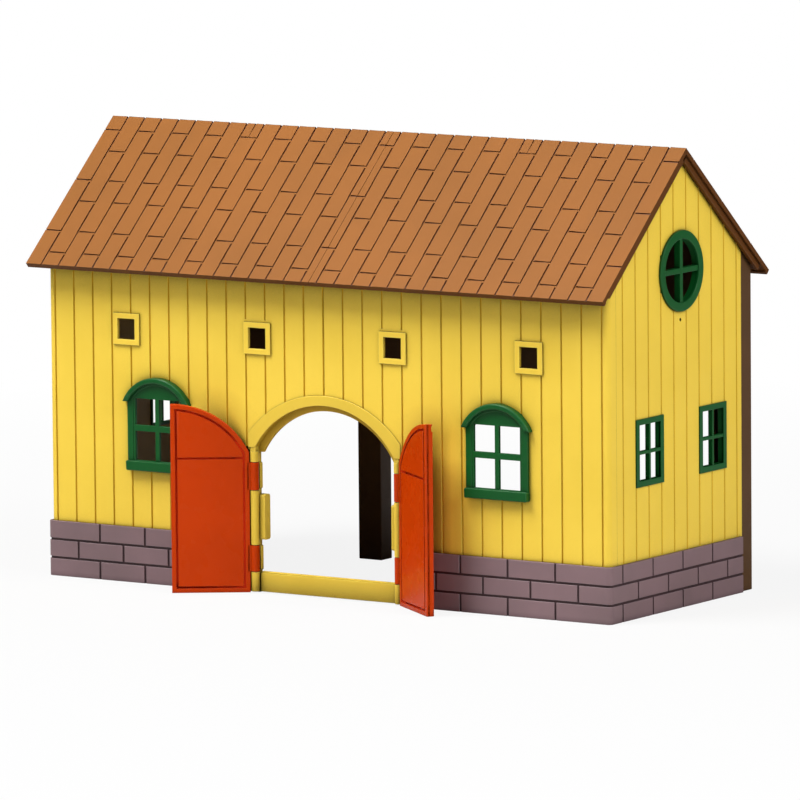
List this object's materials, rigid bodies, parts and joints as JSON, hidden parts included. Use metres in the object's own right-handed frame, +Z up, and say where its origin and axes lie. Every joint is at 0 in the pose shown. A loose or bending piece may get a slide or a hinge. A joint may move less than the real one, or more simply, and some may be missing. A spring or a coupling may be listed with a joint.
{
  "type": "toy barn with opening doors",
  "caption": "Toy barn with boarded walls on a brick plinth, shingled gable roof, green windows, an arched double door on pin hinges and an open timber-framed back.",
  "frame": {"origin": "middle of the ground under the whole barn, with its doors standing open as in the picture", "axes": "+X along the ridge to the right as seen from the door side, +Y from the doors to the open back, +Z up"},
  "size_m": [0.4133, 0.2042, 0.2744],
  "materials": {
    "wall_yellow": "satin moulded plastic, warm yellow",
    "brick_grey": "satin moulded plastic, warm grey",
    "roof_tan": "satin moulded plastic, tan brown",
    "timber_brown": "satin moulded plastic, dark brown",
    "window_green": "satin moulded plastic, dark green",
    "door_red": "satin moulded plastic, orange red",
    "pin_steel": "plain drawn wire"
  },
  "bodies": {
    "barn": {"front_wall_left": "wall_yellow", "front_wall_right": "wall_yellow", "gable_wall_left": "wall_yellow", "gable_wall_right": "wall_yellow", "plinth_left": "brick_grey", "plinth_right": "brick_grey", "door_frame": "wall_yellow", "threshold": "wall_yellow", "vent_frames": "wall_yellow", "arched_window_left": "window_green", "arched_window_right": "window_green", "gable_window_left_front": "window_green", "gable_window_left_back": "window_green", "gable_window_right_front": "window_green", "gable_window_right_back": "window_green", "round_window_left": "window_green", "round_window_right": "window_green", "hinge_pin_left": "pin_steel", "hinge_pin_right": "pin_steel", "roof_front_left": "roof_tan", "roof_front_right": "roof_tan", "roof_back_left": "roof_tan", "roof_back_right": "roof_tan", "ridge_beam": "timber_brown", "roof_joiner_front": "timber_brown", "roof_joiner_back": "timber_brown", "corner_bracket_left": "wall_yellow", "corner_bracket_right": "wall_yellow", "back_panel": "timber_brown", "back_post_corner_left": "timber_brown", "back_post_corner_right": "timber_brown", "back_post_inner_left": "timber_brown", "back_post_inner_right": "timber_brown"},
    "left_door": {"door_leaf_left": "door_red"},
    "right_door": {"door_leaf_right": "door_red"}
  },
  "joints": [
    {"name": "left_door_hinge", "type": "hinge", "parent": "barn", "child": "left_door", "pos_m": [-0.05166, -0.07112, 0], "axis": [0, 0, 1], "range_deg": [-4, 146]},
    {"name": "right_door_hinge", "type": "hinge", "parent": "barn", "child": "right_door", "pos_m": [0.05166, -0.07112, 0], "axis": [0, 0, -1], "range_deg": [-7, 143]}
  ]
}
